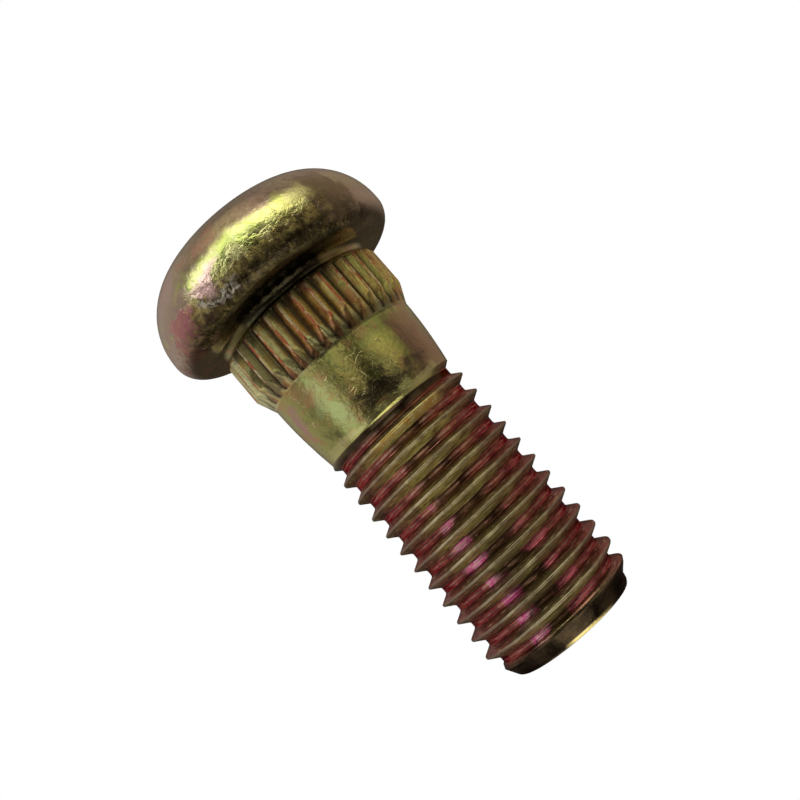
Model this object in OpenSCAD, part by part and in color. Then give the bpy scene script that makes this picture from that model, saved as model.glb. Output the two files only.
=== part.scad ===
// Press-in wheel stud, all sizes in millimetres.
// A domed round head, a collar of straight splines, a smooth tapering shoulder and a right-hand M12 thread.
// It stands on the flat of its head at z = 0, and the shank points up along Z.

/* [Head] */
// Diameter of the head over its rim
head_d = 18.6; // [18:0.1:20]
// Height of the head, from its flat top to the seat under it
head_h = 6.7; // [6.6:0.1:8]
// Radius of the large rounding round the head's top
head_top_round = 5; // [3:0.1:5]
// Radius of the rounding where the rim turns in to the seat
head_seat_round = 1.5; // [0.8:0.1:1.6]
// Radius of the fillet between the seat and the neck under it
seat_fillet = 0.6; // [0.6:0.05:0.8]

/* [Splined collar] */
// Diameter over the crests of the splines
spline_d = 13.2; // [13:0.1:14]
// Depth of the splines
spline_depth = 0.5; // [0.3:0.02:0.6]
// Number of splines round the collar
spline_count = 36; // [24:1:40]
// Width of the flat along each crest
spline_crest_flat = 0.14; // [0.1:0.02:0.3]
// Width of the flat along each root
spline_root_flat = 0.12; // [0.1:0.02:0.3]
// Height of the plain neck between the seat and the splines
neck_h = 0.7; // [0.6:0.1:1]
// Height of the lead-in at the head end of the splines
spline_upper_lead = 0.45; // [0.3:0.05:0.8]
// Height at which the crests begin to run down to the shoulder
spline_crest_end = 10.6; // [10:0.05:11.2]
// Height at which the lead-in cone meets the shoulder
spline_end = 12.15; // [11.8:0.05:12.3]

/* [Shoulder] */
// Diameter of the shoulder beside the splines
shoulder_d = 11.86; // [11.6:0.02:12]
// Diameter of the shoulder where the thread begins
shoulder_end_d = 10.76; // [10.4:0.02:10.8]
// Height at which the shoulder ends
shoulder_end = 17.5; // [17:0.1:18]
// How late the shoulder tapers, where 1 is a straight cone
shoulder_bow = 1.8; // [1:0.1:2]

/* [Threaded shank] */
// Diameter over the crests of the thread
thread_d = 11.74; // [11.72:0.02:11.96]
// Height of the cone between the shoulder and the full thread
thread_run_in = 0.7; // [0.5:0.1:1]
// Pitch of the thread
thread_pitch = 1.5; // [1.45:0.05:1.55]
// Diameter over the roots of the thread
thread_root_d = 10.12; // [10:0.02:10.3]
// Angle between each flank and a plane across the axis
flank_angle = 30; // [28:1:31]
// Height at which the thread's groove begins
groove_start = 17.6; // [17.4:0.1:18]
// Angle round the axis at which the groove begins
groove_start_angle = 176.4; // [0:0.1:359]
// Height left between the end of the groove and the tip
groove_end_gap = 1.3; // [1.2:0.1:1.6]
// Part of a turn over which the groove runs in and out
groove_fade = 0.4; // [0.3:0.05:0.6]
// Height of the chamfer at the tip
tip_chamfer_h = 2.7; // [2:0.1:3]
// Diameter of the flat end
tip_d = 9.3; // [9:0.1:9.8]
// Radius of the small rounding round the flat end
tip_round = 0.35; // [0.2:0.05:0.5]
// Length of the whole stud
stud_length = 36.4; // [36:0.1:45]

/* [Shown part] */
// Which sub-part is built

/* [Hidden] */
steel_colour = [0.52, 0.47, 0.20];
arc_steps = 14;
shoulder_steps = 12;
head_r = head_d / 2;
spline_r = spline_d / 2;
spline_root_r = spline_r - spline_depth;
shoulder_r = shoulder_d / 2;
shoulder_end_r = shoulder_end_d / 2;
thread_r = thread_d / 2;
tip_r = tip_d / 2;
neck_r = spline_root_r - 0.05;
spline_start = head_h + neck_h;
chamfer_start = stud_length - tip_chamfer_h;
thread_root_r = thread_root_d / 2;
// The groove runs in from just over the crests, and its section reaches this far past them
groove_outer_r = thread_r + 0.02;
groove_overrun = 0.1;
steps_per_turn = 36;
// The cone of the tip reaches this radius where its rounding begins
tip_cone_r = tip_r + tip_round * 0.6;

$fn = 96;

// Points of an arc in the (radius, height) plane, from one angle to another
function arc(centre_r, centre_z, radius, from, to) =
    [for (i = [0 : arc_steps])
        let (a = from + (to - from) * i / arc_steps)
        [centre_r + radius * cos(a), centre_z + radius * sin(a)]];

// Radius of the shoulder at a share of its height
function shoulder_radius(share) =
    shoulder_r - (shoulder_r - shoulder_end_r) * pow(share, shoulder_bow);

function shoulder_points() =
    [for (i = [0 : shoulder_steps])
        let (share = i / shoulder_steps)
        [shoulder_radius(share), spline_end + (shoulder_end - spline_end) * share]];

// Half of the outline turned round the axis, from the head's flat top to the tip
function turned_outline() = concat(
    [[0, 0]],
    arc(head_r - head_top_round, head_top_round, head_top_round, -90, 0),
    arc(head_r - head_seat_round, head_h - head_seat_round, head_seat_round, 0, 90),
    arc(neck_r + seat_fillet, head_h + seat_fillet, seat_fillet, 270, 180),
    [[neck_r, spline_start + spline_upper_lead], [shoulder_r, spline_start + 2 * spline_upper_lead]],
    shoulder_points(),
    [[thread_r, shoulder_end + thread_run_in], [thread_r, chamfer_start]],
    arc(tip_cone_r - tip_round, stud_length - tip_round, tip_round, 30, 90),
    [[0, stud_length]]);

module turned_body() {
    rotate_extrude()
        polygon(turned_outline());
}

// Cross-section of the splined collar: one V-shaped tooth for each pitch
module spline_section() {
    half_pitch = 180 / spline_count;
    crest_half = spline_crest_flat / 2 / spline_r * 180 / PI;
    root_half = spline_root_flat / 2 / spline_root_r * 180 / PI;
    polygon([for (tooth = [0 : spline_count - 1])
        for (corner = [[-half_pitch + root_half, spline_root_r], [-crest_half, spline_r],
                       [crest_half, spline_r], [half_pitch - root_half, spline_root_r]])
            let (a = tooth * 2 * half_pitch + corner[0])
            [corner[1] * cos(a), corner[1] * sin(a)]]);
}

// Envelope that gives the splines their lead-in cones at both ends
module spline_envelope() {
    rotate_extrude()
        polygon([[0, spline_start],
                 [neck_r - 0.1, spline_start],
                 [spline_r, spline_start + spline_upper_lead],
                 [spline_r, spline_crest_end],
                 [shoulder_r - 0.02, spline_end],
                 [0, spline_end]]);
}

module splines() {
    intersection() {
        translate([0, 0, spline_start - 0.1])
            linear_extrude(spline_end - spline_start + 0.2)
                spline_section();
        spline_envelope();
    }
}

// How deep the groove is at a turn, as a share of its full depth
function groove_share(turn, turns) =
    min(1, turn / groove_fade, (turns - turn) / groove_fade);

// Section of the groove as (radius, height) points: a narrow root, and flanks that run out past the crests
function groove_section(share) =
    let (inner = groove_outer_r - (groove_outer_r - thread_root_r) * share,
         root_half = thread_pitch / 8 * (0.4 + 0.6 * share),
         outer_half = root_half + (groove_outer_r + groove_overrun - inner) * tan(flank_angle))
    [[inner, -root_half],
     [inner, root_half],
     [groove_outer_r + groove_overrun, outer_half],
     [groove_outer_r + groove_overrun, -outer_half]];

// The thread's groove: one section carried up a right-hand helix
module thread_groove() {
    turns = (stud_length - groove_end_gap - groove_start) / thread_pitch;
    steps = ceil(turns * steps_per_turn);
    points = [for (i = [0 : steps])
        let (turn = turns * i / steps, a = groove_start_angle + 360 * turn)
        for (corner = groove_section(groove_share(turn, turns)))
            [corner[0] * cos(a), corner[0] * sin(a), groove_start + turn * thread_pitch + corner[1]]];
    sides = [for (i = [0 : steps - 1])
        for (side = [0 : 3])
            let (near = 4 * i + side, beside = 4 * i + (side + 1) % 4)
            for (triangle = [[near, near + 4, beside], [beside, near + 4, beside + 4]])
                triangle];
    polyhedron(points, concat(
        [[0, 1, 2, 3]],
        sides,
        [[4 * steps + 3, 4 * steps + 2, 4 * steps + 1, 4 * steps]]));
}

module wheel_stud() {
    color(steel_colour)
        difference() {
            union() {
                turned_body();
                splines();
            }
            thread_groove();
        }
}

wheel_stud();
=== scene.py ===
import math
import bpy
import numpy as np
from mathutils import Matrix, Vector


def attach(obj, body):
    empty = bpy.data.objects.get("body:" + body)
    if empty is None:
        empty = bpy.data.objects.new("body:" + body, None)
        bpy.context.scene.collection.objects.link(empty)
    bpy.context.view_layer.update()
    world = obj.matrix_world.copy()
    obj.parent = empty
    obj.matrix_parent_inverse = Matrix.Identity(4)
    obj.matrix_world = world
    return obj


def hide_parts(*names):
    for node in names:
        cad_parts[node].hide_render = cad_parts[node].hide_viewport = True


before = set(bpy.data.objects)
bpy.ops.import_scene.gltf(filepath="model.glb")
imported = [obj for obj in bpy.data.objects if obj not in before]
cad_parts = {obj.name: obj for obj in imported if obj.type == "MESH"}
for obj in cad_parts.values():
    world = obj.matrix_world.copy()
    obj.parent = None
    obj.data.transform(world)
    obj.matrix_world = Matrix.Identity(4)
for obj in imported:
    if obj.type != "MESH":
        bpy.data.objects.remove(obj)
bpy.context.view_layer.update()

MM = 0.001

# Sizes of the stud in millimetres. They follow the CAD model, and the rims lie just inside it.
HEAD_R, HEAD_H, TOP_ROUND, SEAT_ROUND = 9.29, 6.7, 5.0, 1.45
NECK_R, SEAT_FILLET = 6.05, 0.6
SPLINE_R, SPLINE_DEPTH, SPLINES = 6.59, 0.5, 36
SPLINE_START, SPLINE_LEAD, CREST_END, SPLINE_END = 7.4, 0.45, 10.6, 12.15
SHOULDER_R, SHOULDER_END_R, SHOULDER_END, BOW = 5.92, 5.38, 17.5, 1.8
THREAD_R, FIRST_CREST_R, ROOT_R, PITCH, RUN_IN = 5.83, 5.66, 5.04, 1.5, 0.7
LENGTH, CHAMFER_H, TIP_R, TIP_ROUND = 36.39, 1.8, 4.68, 0.35
# The tip's cone would reach this radius at the flat end. Its rounding leaves it a little before.
TIP_CONE_R = TIP_R + 0.6 * TIP_ROUND
TIP_CONE_END_R = TIP_CONE_R - 0.134 * TIP_ROUND
# The groove's first height, its angle there, its first and last turn, and the turns over which it fades
GROOVE_START, GROOVE_ANGLE, FIRST_TURN, LAST_TURN, GROOVE_FADE = 17.6, 176.4, -0.25, 12.3, 0.25
# Half of the groove's width at its crests, and the height over which the crests grow to their full radius
GROOVE_HALF, CREST_GROWTH = 0.675, 17.0
FLANK = math.tan(math.radians(30))
TOOTH = 360 / SPLINES

# Heights of the mesh's rings on the shoulder, and of the first plain ring above the thread
SHOULDER_RINGS = (12.3, 12.6, 13.1, 13.7, 14.3, 14.8)
TIP_RING = 36.03
# Rows of the mesh to a turn of the thread, by their height from the middle of the groove
THREAD_ROWS = (-0.75, -0.70, -0.67, -0.645, -0.60, -0.30, -0.22, -0.13,
               0.13, 0.22, 0.30, 0.60, 0.645, 0.67, 0.70)
# First and last turn that has rows, and how many of its rows the last one has
FIRST_ROWS, LAST_ROWS, ROWS_IN_LAST = -1, 12, 8
# Angle of the seam where the helical rows of the mesh begin, on the side away from the camera
SEAM = 93.9
# Eight columns of the mesh to a spline, close together at its crest and at its root
COLUMNS = [(tooth + half) * TOOTH + d
           for tooth in range(SPLINES) for half in (0, 0.5) for d in (-1.15, -0.45, 0.45, 1.15)]
COUNT = len(COLUMNS)
# What each point of the mesh tells the material: crest and root of the thread, ridge and valley of the
# splines, and lee for the thread's flanks that face the head and for one side of each spline
MARKS = ("crest", "root", "ridge", "valley", "lee")

# Camera, as fitted to the photograph: turn, tilt and roll in degrees, distances in millimetres
CAM_TURN, CAM_TILT, CAM_ROLL, CAM_DISTANCE = 2.4, 6.322, 49.248, 69.206
CAM_ALONG, CAM_ACROSS, CAM_HEIGHT = 5.015, -1.167, 22.0
CAM_LENS, CAM_SENSOR, CAM_CLIP = 45.0, 36.0, 0.001

WHITE = (1.0, 1.0, 1.0)
# Half of the floor's side, in metres
FLOOR_HALF = 1.5
# The room's dim light, and its soft fields: turn from the camera's side, rise, inner and outer radius, colour
ROOM = (0.045, 0.036, 0.026)
FIELDS = (
    (-62, -47, 2, 15, (1.75, 1.80, 1.60)),
    (-36, -55, 2, 15, (1.40, 1.45, 1.26)),
    (-3, -62, 2, 17, (1.02, 1.10, 0.86)),
    (26, -60, 2, 18, (1.16, 1.20, 0.88)),
    (50, -53, 2, 19, (1.66, 1.62, 1.18)),
    (74, -47, 2, 14, (0.80, 0.76, 0.52)),
    (-85, 32, 8, 34, (0.34, 0.28, 0.26)),
    (85, 32, 8, 34, (0.22, 0.18, 0.15)),
    (0, -87, 4, 30, (0.42, 0.38, 0.24)),
    (-45, -35, 2, 13, (0.80, 0.70, 0.70)),
    (-118, -22, 10, 55, (0.40, 0.35, 0.31)),
    (122, -22, 10, 50, (0.32, 0.25, 0.20)),
    (-50, 2, 6, 28, (0.62, 0.60, 0.54)),
    (44, -4, 5, 22, (0.34, 0.33, 0.24)),
    (68, -6, 3, 20, (0.26, 0.25, 0.16)),
    (-4, -9, 4, 22, (0.46, 0.46, 0.32)),
    (180, 72, 8, 34, (0.95, 0.88, 0.52)),
    (180, -70, 15, 50, (0.22, 0.19, 0.16)),
    (0, 62, 5, 32, (1.20, 1.12, 0.90)),
)

# Patches of other interference colours, and one painted highlight: turn and height of the middle, half width
# and half height in the same units, strength, colour
PATCHES = (
    (-50, 3.2, 18, 1.8, 0.85, (0.50, 0.39, 0.35)),
    # a painted pink highlight on the head's rim
    (-23, 4.0, 8, 0.6, 0.85, (0.90, 0.62, 0.62)),
    (-42, 5.2, 11, 0.9, 0.85, (0.66, 0.28, 0.33)),
    (24, 4.2, 12, 0.5, 0.80, (0.78, 0.74, 0.34)),
    (66, 4.5, 18, 3.0, 0.75, (0.50, 0.40, 0.32)),
    (47, 4.0, 9, 2.2, 0.85, (0.25, 0.19, 0.12)),
    (-56, 14.2, 9, 1.6, 0.75, (0.62, 0.36, 0.38)),
    (-26, 15.2, 8, 2.0, 0.75, (0.60, 0.74, 0.34)),
    (26, 14.2, 8, 1.0, 0.75, (0.85, 0.80, 0.26)),
    (47, 14.8, 8, 2.5, 0.60, (0.25, 0.19, 0.11)),
    (-36, 13.2, 7, 0.9, 0.60, (0.66, 0.46, 0.24)),
    (58, 15.0, 20, 3.0, 0.75, (0.42, 0.28, 0.21)),
    (2, 16.1, 12, 0.75, 0.85, (0.10, 0.09, 0.07)),
    (20, 16.2, 28, 0.7, 0.85, (0.17, 0.14, 0.09)),
)

# Colours of the head, with a sand that paints the band lighter at the sides and a silver for painted glints
TAUPE, WARM_TAUPE, SAND_SIDE_LIGHT, ROSE = (0.46, 0.33, 0.28), (0.44, 0.37, 0.24), (0.62, 0.50, 0.41), (0.60, 0.27, 0.24)
LEAF, STRAW, BROWN, OCHRE = (0.58, 0.64, 0.20), (0.82, 0.78, 0.40), (0.24, 0.18, 0.09), (0.62, 0.50, 0.20)
PALE_SPECK, DARK_SPECK, SILVER_GLINT = (0.80, 0.74, 0.64), (0.16, 0.12, 0.08), (0.86, 0.82, 0.74)
# Colours of the shoulder
OLIVE, MOSS, AMBER, DEEP_MOSS = (0.54, 0.47, 0.19), (0.50, 0.56, 0.20), (0.62, 0.44, 0.20), (0.34, 0.37, 0.15)
BAND, LIP, SCRATCH = (0.86, 0.84, 0.42), (0.66, 0.68, 0.24), (0.98, 0.86, 0.52)
# Colours of the splines, with a painted lit side, a painted shaded red side, a painted highlight and painted
# shade in the valleys
BUTTER, APRICOT, PEACH = (1.0, 0.98, 0.52), (1.0, 0.76, 0.28), (1.0, 0.70, 0.28)
SHADED_SIDE_RED, SHADED_SIDE_COPPER, GOLD, ORANGE = (0.42, 0.10, 0.07), (0.76, 0.36, 0.16), (0.86, 0.78, 0.26), (0.90, 0.48, 0.18)
GREY_OLIVE, PALE_GREEN_HIGHLIGHT = (0.34, 0.30, 0.15), (0.92, 1.0, 0.60)
RIDGE_RED, RIDGE_PALE, VALLEY_SHADE = (0.78, 0.17, 0.10), (1.0, 0.86, 0.58), (0.05, 0.025, 0.015)
# Colours of the thread, much of it painted light and shade: its upper flanks, its lower flanks, its roots,
# its crests and its ends
UPPER_BROWN, UPPER_GOLD = (0.50, 0.38, 0.16), (0.74, 0.66, 0.22)
UPPER_TIP_SHADE, UPPER_SIDE_SHADE = (0.20, 0.15, 0.10), (0.26, 0.15, 0.10)
LOWER_SHADE_DARK, LOWER_SHADE_BROWN = (0.07, 0.03, 0.02), (0.18, 0.10, 0.05)
LOWER_TIP_SHADE, LOWER_SIDE = (0.03, 0.015, 0.01), (0.36, 0.10, 0.09)
WINE, CRIMSON, ROOT_CHERRY_HIGHLIGHT = (0.34, 0.04, 0.07), (0.46, 0.10, 0.10), (0.90, 0.16, 0.32)
ROOT_MAGENTA_HIGHLIGHT, ROOT_PINK_HIGHLIGHT = (0.74, 0.08, 0.36), (1.0, 0.40, 0.68)
ROOT_FRONT_SHADE, ROOT_TIP_SHADE, ROOT_GLINT = (0.12, 0.02, 0.02), (0.05, 0.012, 0.01), (0.66, 0.42, 0.36)
CREST_SIDE, CREST_DULL, CREST_PALE = (0.36, 0.30, 0.24), (0.44, 0.37, 0.28), (0.82, 0.71, 0.54)
LINE_DARK, LINE_PALE, LINE_RED = (0.05, 0.03, 0.02), (0.95, 0.86, 0.50), (0.90, 0.36, 0.40)
FIRST_ORANGE, FIRST_GOLD = (0.80, 0.52, 0.16), (0.95, 0.84, 0.40)
CONE_SHADE_DARK, CONE_SHADE_BROWN, TIP_EDGE_HIGHLIGHT = (0.05, 0.036, 0.024), (0.11, 0.08, 0.05), (1.0, 0.86, 0.45)
# A mark drawn along the splines, and the painted shade under the rim and in the recesses
SPLINE_MARK, SHADE = (0.10, 0.05, 0.03), (0.03, 0.025, 0.02)


def arc(centre_r, centre_z, radius, start, end, steps):
    """Points (r, z) of an arc in the half-plane through the axis."""
    angles = np.radians(np.linspace(start, end, steps + 1))
    return [(centre_r + radius * math.cos(a), centre_z + radius * math.sin(a)) for a in angles]


def ramp(value, none, full):
    """0 at one value, 1 at another and straight between them."""
    return min(1.0, max(0.0, (value - none) / (full - none)))


def soft_max(a, b, width):
    """The larger of two values, with the corner between them rounded."""
    return 0.5 * (a + b + math.sqrt((a - b) ** 2 + width * width))


class Skin:
    """Vertices, faces and the marks that the material reads."""

    def __init__(self):
        self.points = []
        self.faces = []
        self.marks = {name: [] for name in MARKS}

    def point(self, radius, angle, z, **marks):
        a = math.radians(angle)
        x, y = radius * math.cos(a), radius * math.sin(a)
        self.points.append((x * MM, y * MM, z * MM))
        for name, values in self.marks.items():
            values.append(marks.get(name, 0.0))
        return len(self.points) - 1

    def ring(self, radius, z):
        return [self.point(radius, a, z) for a in COLUMNS]

    def strip(self, lower, upper):
        """Faces between two rows, open at the end of the rows."""
        for i in range(COUNT - 1):
            self.faces.append((lower[i], lower[i + 1], upper[i + 1], upper[i]))

    def join(self, lower, upper):
        """Faces between two rings."""
        self.strip(lower, upper)
        self.faces.append((lower[-1], lower[0], upper[0], upper[-1]))


def tooth_share(angle):
    """Share of the way from a spline's crest to its root, at an angle."""
    away = abs((angle + TOOTH / 2) % TOOTH - TOOTH / 2)
    return ramp(away, 0.5, TOOTH / 2 - 0.5)


def spline_envelope(z):
    """Radius of the lead-in cones that the splines are cut to."""
    if z < SPLINE_START + SPLINE_LEAD:
        rise = (z - SPLINE_START) / SPLINE_LEAD
        return NECK_R - 0.1 + (SPLINE_R - NECK_R + 0.1) * math.sin(rise * math.pi / 2)
    if z < CREST_END:
        return SPLINE_R
    return SPLINE_R - (SPLINE_R - SHOULDER_R + 0.02) * (z - CREST_END) / (SPLINE_END - CREST_END)


def collar_core(z):
    """Radius of the turned body inside the splines."""
    start = SPLINE_START + SPLINE_LEAD
    return NECK_R + (SHOULDER_R - NECK_R) * ramp(z, start, start + SPLINE_LEAD)


def shoulder_radius(z):
    return SHOULDER_R - (SHOULDER_R - SHOULDER_END_R) * ramp(z, SPLINE_END, SHOULDER_END) ** BOW


def blank_radius(z):
    """Radius over the crests, from the shoulder to the tip's rounding."""
    if z <= SHOULDER_END:
        return shoulder_radius(z)
    chamfer_start = LENGTH - CHAMFER_H
    crest = FIRST_CREST_R + (THREAD_R - FIRST_CREST_R) * ramp(z, SHOULDER_END, chamfer_start)
    if z < SHOULDER_END + RUN_IN:
        return SHOULDER_END_R + (crest - SHOULDER_END_R) * (z - SHOULDER_END) / RUN_IN
    if z < chamfer_start:
        return crest
    cone_end = LENGTH - TIP_ROUND / 2
    return THREAD_R - (THREAD_R - TIP_CONE_END_R) * (z - chamfer_start) / (cone_end - chamfer_start)


def thread_point(angle, z):
    """Radius of the threaded shank at an angle and height, and its marks for crest, root and lee."""
    rise = (angle - GROOVE_ANGLE) / 360
    turn = round((z - GROOVE_START) / PITCH - rise) + rise
    offset = z - GROOVE_START - turn * PITCH
    share = ramp(min(turn - FIRST_TURN, LAST_TURN - turn), 0, GROOVE_FADE)
    limit = blank_radius(z)
    if share == 0:
        return limit, 0.0, 0.0, 0.0
    outer = THREAD_R + 0.02
    inner = outer - (outer - ROOT_R) * share
    # the first crests are lower, and as sharp as the others
    crest_r = FIRST_CREST_R + (THREAD_R - FIRST_CREST_R) * ramp(z, SHOULDER_END, SHOULDER_END + CREST_GROWTH)
    root_half = (GROOVE_HALF - (crest_r - ROOT_R) * FLANK) * (0.4 + 0.6 * share)
    groove = soft_max(inner, inner + (abs(offset) - root_half) / FLANK, 0.08)
    radius = -soft_max(-groove, -limit, 0.03)
    full = ramp(z, SHOULDER_END, SHOULDER_END + 0.6) * ramp(z, LENGTH - 1.2, LENGTH - 2.0)
    crest = full * ramp(limit - radius, 0.05, 0)
    root = share * ramp(radius - inner, 0.22, 0)
    return radius, crest, root, ramp(offset, 0.15, 0.25) * (1 - crest) * share


def build_head(skin):
    outline = [(r, 0.0) for r in (1.5, 3.0, 3.9)]
    outline += arc(HEAD_R - TOP_ROUND, TOP_ROUND, TOP_ROUND, -90, 0, 20)
    outline += arc(HEAD_R - SEAT_ROUND, HEAD_H - SEAT_ROUND, SEAT_ROUND, 0, 90, 10)
    outline += [(r, HEAD_H) for r in (7.5, 7.2, 6.9)]
    outline += arc(NECK_R + SEAT_FILLET, HEAD_H + SEAT_FILLET, SEAT_FILLET, 270, 180, 6)
    hub = skin.point(0, 0, 0)
    rings = [skin.ring(r, z) for r, z in outline]
    for i in range(COUNT):
        skin.faces.append((hub, rings[0][(i + 1) % COUNT], rings[0][i]))
    for lower, upper in zip(rings, rings[1:]):
        skin.join(lower, upper)
    return rings[-1]


def build_collar(skin, last):
    """The splines and the shoulder, from the head's last ring on."""
    heights = list(np.linspace(SPLINE_START, SPLINE_START + SPLINE_LEAD, 7))
    heights += list(np.linspace(SPLINE_START + SPLINE_LEAD, CREST_END - 0.05, 7))[1:]
    heights += list(np.linspace(CREST_END, SPLINE_END, 17))
    for z in heights:
        on = 1.0 if SPLINE_START + 0.2 < z < SPLINE_END - 0.1 else 0.0
        row = []
        for a in COLUMNS:
            share = tooth_share(a)
            radius = max(min(SPLINE_R - SPLINE_DEPTH * share, spline_envelope(z)), collar_core(z))
            ridge = on if share < 0.1 and z < CREST_END + 0.1 else 0.0
            lee = on if a % TOOTH < TOOTH / 2 else 0.0
            row.append(skin.point(radius, a, z, ridge=ridge, lee=lee, valley=on * share))
        skin.join(last, row)
        last = row
    for z in SHOULDER_RINGS:
        row = skin.ring(shoulder_radius(z), z)
        skin.join(last, row)
        last = row
    return last


def thread_rows(skin, angles):
    """Rows that follow the helix, so that crests and roots are clean lines."""
    rows = []
    for k in range(FIRST_ROWS, LAST_ROWS + 1):
        for offset in THREAD_ROWS[:ROWS_IN_LAST if k == LAST_ROWS else len(THREAD_ROWS)]:
            row = []
            for a in angles:
                z = GROOVE_START + ((a - GROOVE_ANGLE) / 360 + k) * PITCH + offset
                # near the tip the rows crowd together under its last plain ring
                z = TIP_RING - soft_max(0.0, TIP_RING - z, 0.05)
                radius, crest, root, lee = thread_point(a, z)
                row.append(skin.point(radius, a, z, crest=crest, root=root, lee=lee))
            rows.append(row)
    return rows


def build_thread(skin, last):
    """The thread and the tip. A row of the thread is one turn of a helix, and starts and ends at the seam."""
    start = min(range(COUNT), key=lambda i: (COLUMNS[i] - SEAM) % 360)
    order = [(start + i) % COUNT for i in range(COUNT)]
    rows = thread_rows(skin, [SEAM + (COLUMNS[i] - SEAM) % 360 for i in order])
    per_turn = len(THREAD_ROWS)
    for m in range(len(rows) - 1):
        skin.strip(rows[m], rows[m + 1])
        # across the seam a row meets the one a whole turn higher
        above = m + per_turn
        if above + 1 < len(rows):
            skin.faces.append((rows[m][-1], rows[above][0], rows[above + 1][0], rows[m + 1][-1]))
    # Below: the shoulder's last ring, and one face at the seam beside the first turn's ends
    low = [last[i] for i in order]
    skin.strip(low, rows[0])
    beside = [rows[m][0] for m in range(per_turn + 1)]
    skin.faces.append(tuple([low[-1], low[0]] + beside + [rows[0][-1]]))
    # Above: the end of the tip's cone, its rounding and the flat end
    tip = [(blank_radius(TIP_RING + 0.02), TIP_RING + 0.02)]
    tip += arc(TIP_CONE_R - TIP_ROUND, LENGTH - TIP_ROUND, TIP_ROUND, 30, 90, 5)
    tip += [(4.0, LENGTH), (2.5, LENGTH)]
    rings = []
    for r, z in tip:
        ring = skin.ring(r, z)
        rings.append([ring[i] for i in order])
    high, top = rings[0], rows[-1]
    skin.strip(top, high)
    beside = [row[-1] for row in rows[:-per_turn - 1:-1]]
    skin.faces.append(tuple([rows[-per_turn - 1][-1], top[0], high[0], high[-1]] + beside))
    for lower, upper in zip(rings, rings[1:]):
        skin.join(lower, upper)
    hub = skin.point(0, 0, LENGTH)
    for i in range(COUNT):
        skin.faces.append((rings[-1][i], rings[-1][(i + 1) % COUNT], hub))


def build_stud():
    skin = Skin()
    last = build_head(skin)
    last = build_collar(skin, last)
    build_thread(skin, last)
    mesh = bpy.data.meshes.new("wheel_stud_body")
    mesh.from_pydata(skin.points, [], skin.faces)
    for name, values in skin.marks.items():
        mesh.attributes.new(name, "FLOAT", "POINT").data.foreach_set("value", values)
    mesh.polygons.foreach_set("use_smooth", [True] * len(mesh.polygons))
    mesh.validate()
    stud = bpy.data.objects.new("wheel_stud_body", mesh)
    bpy.context.scene.collection.objects.link(stud)
    return stud


class Nodes:
    """Short calls for making the nodes of a material or of the world."""

    def __init__(self, owner):
        owner.use_nodes = True
        self.tree = owner.node_tree
        self.tree.nodes.clear()

    def put(self, socket, value):
        if isinstance(value, bpy.types.NodeSocket):
            self.tree.links.new(value, socket)
        elif isinstance(value, tuple) and len(value) == 3 and socket.type == "RGBA":
            socket.default_value = (*value, 1.0)
        else:
            socket.default_value = value

    def node(self, kind, inputs=None, **settings):
        node = self.tree.nodes.new(kind)
        for name, value in settings.items():
            setattr(node, name, value)
        for name, value in (inputs or {}).items():
            self.put(node.inputs[name], value)
        return node

    def math(self, operation, a, b=0.0):
        return self.node("ShaderNodeMath", {0: a, 1: b}, operation=operation).outputs[0]

    def times(self, first, *others):
        for other in others:
            first = self.math("MULTIPLY", first, other)
        return first

    def plus(self, first, *others):
        for other in others:
            first = self.math("ADD", first, other)
        return first

    def most(self, first, *others):
        for other in others:
            first = self.math("MAXIMUM", first, other)
        return first

    def but(self, value):
        """What is left of 1."""
        return self.math("SUBTRACT", 1.0, value)

    def distance(self, value, middle=0.0):
        return self.math("ABSOLUTE", self.math("SUBTRACT", value, middle))

    def span(self, value, low, high, to_low=0.0, to_high=1.0, **settings):
        """Goes from one result to another while a value goes from low to high, and stays there beyond."""
        node = self.node("ShaderNodeMapRange", {"Value": value, "From Min": low, "From Max": high,
                                                "To Min": to_low, "To Max": to_high}, **settings)
        return node.outputs[0]

    def mix(self, share, a, b, blend="MIX"):
        node = self.node("ShaderNodeMix", data_type="RGBA", blend_type=blend, clamp_factor=True)
        self.put(node.inputs[0], share)
        self.put(node.inputs[6], a)
        self.put(node.inputs[7], b)
        return node.outputs[2]

    def noise(self, place, scale, detail=3.0, rough=0.55, warp=0.0):
        node = self.node("ShaderNodeTexNoise", {"Vector": place, "Scale": scale, "Detail": detail,
                                                "Roughness": rough, "Distortion": warp})
        return node.outputs[0]

    def dot(self, place, way):
        node = self.node("ShaderNodeVectorMath", {0: place, 1: tuple(way)}, operation="DOT_PRODUCT")
        return node.outputs["Value"]

    def white_to_camera(self, kind, other):
        """White of one kind where the camera sees it, and another shader for all other rays."""
        seen = self.node("ShaderNodeLightPath").outputs["Is Camera Ray"]
        white = self.node(kind, {"Color": WHITE, "Strength": 1.0})
        both = self.node("ShaderNodeMixShader", {0: seen, 1: other.outputs[0], 2: white.outputs[0]})
        return both.outputs[0]


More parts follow.
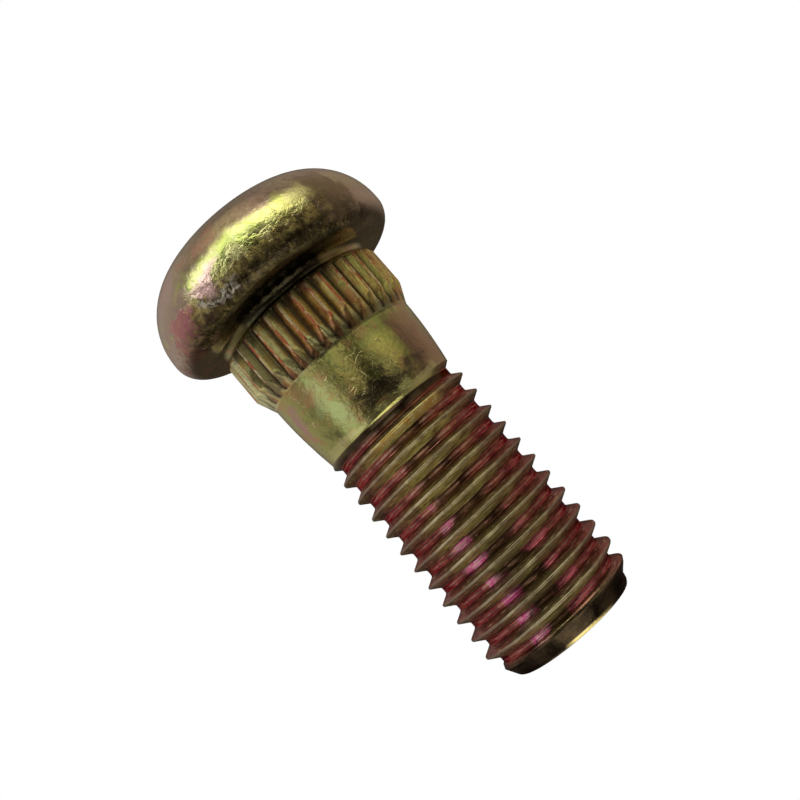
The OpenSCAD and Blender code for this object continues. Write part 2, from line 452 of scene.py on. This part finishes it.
class Plating(Nodes):
    """Yellow zinc on steel with painted light and shade, laid out by height and by the angle round the stud.

    Heights are in millimetres. Angles are in degrees from the side that the photograph shows.
    """

    def __init__(self, material):
        super().__init__(material)
        self.place = self.node("ShaderNodeTexCoord").outputs["Object"]
        self.z = self.times(self.node("ShaderNodeSeparateXYZ", {0: self.place}).outputs["Z"], 1 / MM)
        toward, across = photo_side()
        turn = self.math("ARCTAN2", self.dot(self.place, across), self.dot(self.place, toward))
        self.turn = self.times(turn, 180 / math.pi)
        self.crest, self.root, self.ridge, self.valley, self.lee = (
            self.node("ShaderNodeAttribute", attribute_name=name).outputs["Fac"] for name in MARKS)
        self.large = self.noise(self.place, 160, 3, 0.5, 0.6)
        self.middle = self.noise(self.place, 700, 4, 0.6, 0.4)
        self.small = self.noise(self.place, 1900, 3, 0.6, 0.3)
        self.crackle = self.noise(self.place, 3000, 4, 0.6, 0.8)
        # places with wandering edges: a little, more, and round the stud
        self.z_near = self.wander(self.z, self.noise(self.place, 1100), 0.35)
        self.z_in = self.wander(self.z, self.noise(self.place, 520), 0.9)
        self.turn_in = self.wander(self.turn, self.noise(self.place, 430, 3, 0.5, 0.5), 9)
        self.away = self.distance(self.turn_in)
        self.ragged = self.span(self.small, 0.3, 0.7, -0.5, 0.5)
        self.collar = self.times(self.span(self.z, 7.4, 7.6), self.span(self.z, 12.15, 12.05))
        self.threaded = self.span(self.z, 17.7, 18.1)
        # all of the thread but its crests
        self.plain = self.times(self.threaded, self.but(self.crest))
        self.sides = self.span(self.away, 36, 60, 0.0, 0.6)
        self.phase = self.thread_phase()

    def wander(self, value, texture, reach):
        return self.plus(value, self.span(texture, 0.3, 0.7, -reach, reach))

    def thread_phase(self):
        """Share of a pitch from the middle of the groove, from -0.5 to 0.5 and positive towards the tip."""
        risen = self.math("DIVIDE", self.math("SUBTRACT", self.z, GROOVE_START), PITCH)
        turned = self.math("DIVIDE", self.math("SUBTRACT", 270 + CAM_TURN - GROOVE_ANGLE, self.turn), 360)
        # 20 whole turns keep the sum above 0
        phase = self.math("FRACT", self.plus(self.math("SUBTRACT", risen, turned), 20.5))
        return self.math("SUBTRACT", phase, 0.5)

    def patch(self, turn, height, half_width, half_height, soft=0.6):
        """1 inside a ragged oval patch, falling to 0 outside it."""
        a = self.math("DIVIDE", self.math("SUBTRACT", self.turn_in, turn), half_width)
        b = self.math("DIVIDE", self.math("SUBTRACT", self.z_in, height), half_height)
        away = self.plus(self.times(a, a), self.times(b, b), self.ragged)
        return self.span(away, 1.0 + soft, 1.0 - soft)

    def mottle(self, texture, low, high, a, b):
        """Two colours that take turns with a texture."""
        return self.mix(self.span(texture, low, high), a, b)

    def lay(self, share, colour):
        """Lays a colour over what is there."""
        self.colour = self.mix(share, self.colour, colour)

    def lay_ground(self):
        """The head's taupe dome, yellow-green rim and brown band, painted lighter at its sides, and the
        shank's olive and yellow-green.
        """
        band = self.span(self.z_near, 4.3, 4.9)
        self.colour = self.mottle(self.large, 0.38, 0.62, TAUPE, WARM_TAUPE)
        self.lay(self.span(self.z_near, 2.5, 3.1), self.mottle(self.middle, 0.42, 0.60, LEAF, STRAW))
        self.lay(band, self.mottle(self.small, 0.44, 0.60, BROWN, OCHRE))
        # painted light: the band turns sand-coloured and lighter towards the sides
        self.lay(self.times(self.span(self.away, 34, 60), band), SAND_SIDE_LIGHT)
        # pale and dark specks, and rose near the top and at one side
        pale = self.times(self.span(self.crackle, 0.56, 0.64, 0.0, 0.30), self.span(self.z, 6.6, 6.4))
        self.lay(pale, PALE_SPECK)
        self.lay(self.span(self.crackle, 0.44, 0.36, 0.0, 0.30), DARK_SPECK)
        rosy = self.most(self.span(self.z_near, 2.6, 1.9), self.span(self.turn_in, -30, -44))
        rosy = self.times(self.span(self.turn_in, 12, -6), self.span(self.middle, 0.50, 0.60, 0.0, 0.7), rosy)
        self.lay(rosy, ROSE)
        shank = self.mottle(self.large, 0.42, 0.58, OLIVE, MOSS)
        shank = self.mottle(self.middle, 0.52, 0.62, shank, AMBER)
        shank = self.mottle(self.middle, 0.42, 0.34, shank, DEEP_MOSS)
        self.lay(self.span(self.z, 6.6, 6.9), shank)

    def lay_patches(self):
        """Patches of other colours and one painted highlight, and a pale band and fine curled scratches on
        the shoulder.
        """
        for turn, height, half_width, half_height, strength, colour in PATCHES:
            self.lay(self.times(self.patch(turn, height, half_width, half_height), strength), colour)
        self.lay(self.times(self.span(self.z_near, 16.75, 17.0), self.span(self.away, 70, 50, 0.0, 0.75),
                            self.span(self.z, 17.6, 17.5)), BAND)
        lines = self.distance(self.noise(self.place, 620, 2, 0.5, 1.2), 0.5)
        self.curls = self.times(self.span(lines, 0.015, 0.004), self.patch(-12, 14.3, 44, 1.9, 0.4),
                                self.span(self.noise(self.place, 1300, 2), 0.46, 0.56))
        self.lay(self.times(self.curls, 0.8), SCRATCH)

    def lay_lit_and_shaded_flanks(self):
        """Painted light and shade: a lit pale side and a shaded red side on each spline, lit upper and shaded
        lower thread flanks.
        """
        # painted light: the side of each spline without the lee mark is laid pale
        self.lay(self.times(self.collar, self.span(self.lee, 1.0, 0.0, 0.0, 0.85)),
                 self.mottle(self.middle, 0.45, 0.58, BUTTER, APRICOT))
        # painted light on the thread's upper flanks, taken darker towards the tip and at the sides
        upper = self.mottle(self.middle, 0.42, 0.58, UPPER_BROWN, UPPER_GOLD)
        upper = self.mix(self.span(self.z, 22, 33, 0.0, 0.55), upper, UPPER_TIP_SHADE)
        upper = self.mix(self.span(self.away, 26, 44, 0.0, 0.8), upper, UPPER_SIDE_SHADE)
        self.lay(self.threaded, upper)
        # painted shade on the thread's lower flanks, darker towards the tip and crimson at the sides
        lower = self.mottle(self.small, 0.4, 0.6, LOWER_SHADE_DARK, LOWER_SHADE_BROWN)
        lower = self.mix(self.span(self.z, 24, 30, 0.0, 0.6), lower, LOWER_TIP_SHADE)
        lower = self.mix(self.span(self.away, 34, 58), lower, LOWER_SIDE)
        # painted shade on the lee side of each spline, red, turning gold and orange further round
        shaded_spline_side = self.mottle(self.small, 0.4, 0.6, SHADED_SIDE_RED, SHADED_SIDE_COPPER)
        shaded_spline_side = self.mix(self.span(self.turn_in, 14, 34), shaded_spline_side,
                          self.mottle(self.middle, 0.45, 0.6, GOLD, ORANGE))
        self.lay(self.times(self.lee, 0.75), self.mix(self.collar, lower, shaded_spline_side))

    def lay_spline_marks(self):
        """Marks drawn along the splines by pressing, a greener patch, and a painted pale green highlight at
        one side of the collar.
        """
        along = self.node("ShaderNodeVectorMath", {0: self.place, 1: (1.0, 1.0, 0.12)}, operation="MULTIPLY")
        drawn = self.noise(along.outputs["Vector"], 4200, 3, 0.6)
        self.lay(self.times(self.collar, self.span(drawn, 0.46, 0.34, 0.0, 0.45)), SPLINE_MARK)
        self.lay(self.times(self.collar, self.span(drawn, 0.60, 0.68, 0.0, 0.5)),
                 self.mottle(self.small, 0.48, 0.52, PEACH, BUTTER))
        self.lay(self.times(self.collar, self.patch(-47, 9.6, 10, 3.0)), GREY_OLIVE)
        # painted highlight: pale green along the collar's far side
        self.lay(self.times(self.collar, self.span(self.turn_in, -62, -70, 0.0, 0.8)), PALE_GREEN_HIGHLIGHT)

    def lay_roots(self):
        """Crimson roots of the thread, painted dark at the front and with painted magenta and cherry
        highlights towards the tip, and painted shade in the splines' valleys.
        """
        self.deep = self.mottle(self.middle, 0.42, 0.60, WINE, CRIMSON)
        # painted dark reflection where the roots face the front, darker towards the tip
        self.deep = self.mix(self.span(self.away, 34, 12), self.deep,
                             self.mottle(self.z, 24, 29, ROOT_FRONT_SHADE, ROOT_TIP_SHADE))
        # magenta interference colour with a painted highlight on it, and a painted cherry highlight on the
        # other side
        self.deep = self.mix(self.patch(-21, 33, 9, 8, 0.7), self.deep,
                             self.mottle(self.small, 0.42, 0.60, ROOT_MAGENTA_HIGHLIGHT, ROOT_PINK_HIGHLIGHT))
        self.deep = self.mix(self.patch(21, 33, 10, 5, 0.7), self.deep, ROOT_CHERRY_HIGHLIGHT)
        self.root = self.times(self.root, self.most(self.span(self.phase, -0.19, -0.12), self.sides))
        # at the sides the red runs on over the flank
        beyond = self.times(self.sides, self.span(self.z, 18.3, 18.8), self.span(self.phase, -0.34, -0.22))
        self.red = self.most(self.root, beyond)
        self.lay(self.times(self.red, 0.92), self.deep)
        # painted shade deep in the splines' valleys
        self.lay(self.times(self.math("POWER", self.valley, 2.7), 0.92), VALLEY_SHADE)

    def lay_crests(self):
        """Pale crests of the thread, and a painted glint along the middle of its roots."""
        pale = self.mottle(self.middle, 0.45, 0.6, CREST_DULL, CREST_PALE)
        self.lay(self.times(self.crest, 0.9), self.mottle(self.away, 50, 34, CREST_SIDE, pale))
        # painted glint along the roots, fainter at the front and full low on the thread
        root_glint = self.times(self.span(self.distance(self.phase), 0.055, 0.03),
                            self.span(self.small, 0.40, 0.56, 0.2, 0.8), self.root)
        lit = self.most(self.span(self.distance(self.turn_in, 6.0), 4, 22, 0.25, 0.8),
                        self.span(self.z, 28, 22))
        self.lay(self.times(root_glint, lit), ROOT_GLINT)

    def lay_rolled_lines(self):
        """Fine lines left along the thread by rolling, and a brighter first turn."""
        strand = self.node("ShaderNodeCombineXYZ", {
            "X": self.times(self.phase, 16.0),
            "Y": self.times(self.turn, 30.0 / 360),
            "Z": self.times(self.z, 0.4)})
        grain = self.noise(strand.outputs[0], 1.0, 3, 0.6, 0.2)
        self.lay(self.times(self.plain, self.span(grain, 0.50, 0.38, 0.0, 0.6)), LINE_DARK)
        self.lay(self.times(self.plain, self.span(grain, 0.58, 0.68, 0.0, 0.5)),
                 self.mix(self.root, LINE_PALE, LINE_RED))
        first = self.times(self.span(self.distance(self.z, 18.75), 0.45, 0.30),
                           self.span(self.distance(self.turn_in, 8.0), 40, 24), self.but(self.lee))
        self.lay(first, self.mottle(self.small, 0.45, 0.58, FIRST_ORANGE, FIRST_GOLD))

    def lay_ends(self):
        """The shoulder's lip, painted shade on the cones at the thread's ends, a painted highlight on the
        tip's edge, and the splines' ridges.
        """
        lip = self.times(self.span(self.distance(self.z, 17.42), 0.10, 0.04), self.span(self.away, 60, 40))
        self.lay(self.times(lip, 0.9), LIP)
        # painted shade: the cones at both ends of the thread are laid dark
        shaded_cones = self.most(self.times(self.span(self.z, 17.48, 17.54), self.span(self.z, 18.2, 17.9)),
                          self.span(self.z, 34.9, 35.2))
        self.lay(self.times(shaded_cones, self.but(self.crest)),
                 self.mottle(self.middle, 0.4, 0.6, CONE_SHADE_DARK, CONE_SHADE_BROWN))
        # painted highlight along the tip's edge
        edge = self.times(self.span(self.z, 36.10, 36.16),
                          self.span(self.distance(self.turn_in, 12.0), 30, 16))
        self.lay(edge, TIP_EDGE_HIGHLIGHT)
        self.lay(self.times(self.ridge, self.span(self.small, 0.40, 0.55, 0.40, 0.95)),
                 self.mottle(self.middle, 0.48, 0.54, RIDGE_RED, RIDGE_PALE))

    def lay_shades(self):
        """Painted shade under the rim and where the head, the neck, the splines and the shoulder meet, and
        painted glints under the rim.
        """
        # painted shade under the rim, at the neck, in the corner under the head and at the foot of the
        # splines
        under = self.times(self.span(self.z_near, 4.9, 5.8), self.span(self.z, 7.3, 7.1),
                           self.span(self.distance(self.turn_in, 2.0), 58, 26, 0.0, 0.86))
        neck = self.times(self.span(self.z, 6.2, 6.5), self.span(self.z, 7.75, 7.45),
                          self.span(self.away, 56, 30, 0.0, 0.97))
        corner = self.times(self.span(self.z_near, 8.8, 7.7), self.span(self.z, 6.72, 6.85),
                            self.span(self.distance(self.turn_in, -4.0), 76, 40, 0.0, 0.70))
        foot = self.times(self.span(self.z, 11.1, 11.6), self.span(self.z, 12.25, 12.1),
                          self.span(self.distance(self.turn_in, 20.0), 60, 36, 0.0, 0.6))
        self.lay(self.most(under, neck, corner, foot), SHADE)
        # painted glints: pale silver flecks on the rim's lower band
        painted_glints = self.times(self.patch(-21, 5.3, 7, 0.45, 0.95),
                            self.span(self.crackle, 0.40, 0.58, 0.0, 0.8))
        self.lay(painted_glints, SILVER_GLINT)

    def relief(self):
        """Fine pits all over, more of them under the rim and on the shoulder."""
        pitted = self.plus(self.times(self.patch(-6, 5.3, 64, 1.1, 0.5), 1.3),
                           self.times(self.patch(-8, 14.4, 50, 2.0, 0.6), 0.25), 0.16)
        height = self.plus(self.times(self.crackle, pitted), self.times(self.small, 0.45),
                           self.times(self.middle, self.patch(-8, 14.4, 60, 2.2, 0.6)),
                           self.times(self.curls, 0.3))
        return self.node("ShaderNodeBump", {"Strength": 0.6, "Distance": 0.08 * MM, "Height": height})

    def finish(self):
        """The shader. Crests and ridges are rougher. The thread's flanks and the collar are duller."""
        worn = self.most(self.crest, self.times(self.ridge, 0.4))
        rough = self.plus(self.span(self.middle, 0.3, 0.7, 0.14, 0.30), self.times(worn, 0.12))
        dull = self.most(self.times(self.plain, self.but(self.root), self.span(self.z, 34.9, 34.5)),
                         self.times(self.collar, 0.4))
        shader = self.node("ShaderNodeBsdfPrincipled", {
            "Base Color": self.colour,
            "Metallic": self.but(self.times(dull, 0.65)),
            "Roughness": rough,
            "Specular Tint": self.mix(self.times(self.red, 0.8), WHITE, self.deep),
            "Normal": self.relief().outputs[0]})
        self.node("ShaderNodeOutputMaterial", {"Surface": shader.outputs[0]})


def zinc_material():
    material = bpy.data.materials.new("yellow_zinc_plated_steel")
    plating = Plating(material)
    plating.lay_ground()
    plating.lay_patches()
    plating.lay_lit_and_shaded_flanks()
    plating.lay_spline_marks()
    plating.lay_roots()
    plating.lay_crests()
    plating.lay_rolled_lines()
    plating.lay_ends()
    plating.lay_shades()
    plating.finish()
    return material


def photo_side():
    """Level directions from the stud: towards the side that the photograph shows, and across it."""
    turn = math.radians(CAM_TURN)
    return Vector((math.sin(turn), -math.cos(turn), 0)), Vector((-math.cos(turn), -math.sin(turn), 0))


def add_camera():
    toward, across = photo_side()
    tilt, roll = math.radians(CAM_TILT), math.radians(CAM_ROLL)
    up = Vector((0, 0, 1))
    back = math.cos(tilt) * toward + math.sin(tilt) * up
    along = -math.sin(tilt) * toward + math.cos(tilt) * up
    right = along * math.cos(roll) + across * math.sin(roll)
    top = across * math.cos(roll) - along * math.sin(roll)
    place = (-CAM_ACROSS * across + (CAM_DISTANCE * math.cos(tilt) + CAM_ALONG * math.sin(tilt)) * toward
             + (CAM_HEIGHT + CAM_DISTANCE * math.sin(tilt) - CAM_ALONG * math.cos(tilt)) * up)
    data = bpy.data.cameras.new("camera")
    data.sensor_width, data.lens, data.clip_start = CAM_SENSOR, CAM_LENS, CAM_CLIP
    camera = bpy.data.objects.new("camera", data)
    camera.matrix_world = Matrix.Translation(place * MM) @ Matrix((right, top, back)).transposed().to_4x4()
    bpy.context.scene.collection.objects.link(camera)
    bpy.context.scene.camera = camera


def add_floor():
    """A floor that is white to the camera, and lets all other rays through."""
    mesh = bpy.data.meshes.new("floor")
    corners = [(x * FLOOR_HALF, y * FLOOR_HALF, 0) for x, y in ((-1, -1), (1, -1), (1, 1), (-1, 1))]
    mesh.from_pydata(corners, [], [(0, 1, 2, 3)])
    floor = bpy.data.objects.new("floor", mesh)
    bpy.context.scene.collection.objects.link(floor)
    material = bpy.data.materials.new("pale_floor")
    n = Nodes(material)
    surface = n.white_to_camera("ShaderNodeEmission", n.node("ShaderNodeBsdfTransparent"))
    n.node("ShaderNodeOutputMaterial", {"Surface": surface})
    mesh.materials.append(material)


def way_from(turn, rise):
    """Direction at an angle round the stud from the camera's side, and an angle above level, in degrees."""
    toward, across = photo_side()
    t, e = math.radians(turn), math.radians(rise)
    return (toward * math.cos(t) + across * math.sin(t)) * math.cos(e) + Vector((0, 0, math.sin(e)))


def set_world():
    """A dim room with soft round fields of light, and plain white where the camera sees it."""
    world = bpy.data.worlds.new("studio")
    bpy.context.scene.world = world
    n = Nodes(world)
    way = n.node("ShaderNodeTexCoord").outputs["Generated"]
    light = ROOM
    for turn, rise, inner, outer, colour in FIELDS:
        edge, full = math.cos(math.radians(outer)), math.cos(math.radians(inner))
        share = n.span(n.dot(way, way_from(turn, rise)), edge, full, interpolation_type="SMOOTHSTEP")
        light = n.mix(share, light, colour, "ADD")
    room = n.node("ShaderNodeBackground", {"Color": light, "Strength": 1.0})
    n.node("ShaderNodeOutputWorld", {"Surface": n.white_to_camera("ShaderNodeBackground", room)})


stud = build_stud()
stud.data.materials.append(zinc_material())
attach(stud, "root")
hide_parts("wheel_stud")
add_floor()
set_world()
add_camera()
bpy.context.scene.view_settings.view_transform = "Standard"
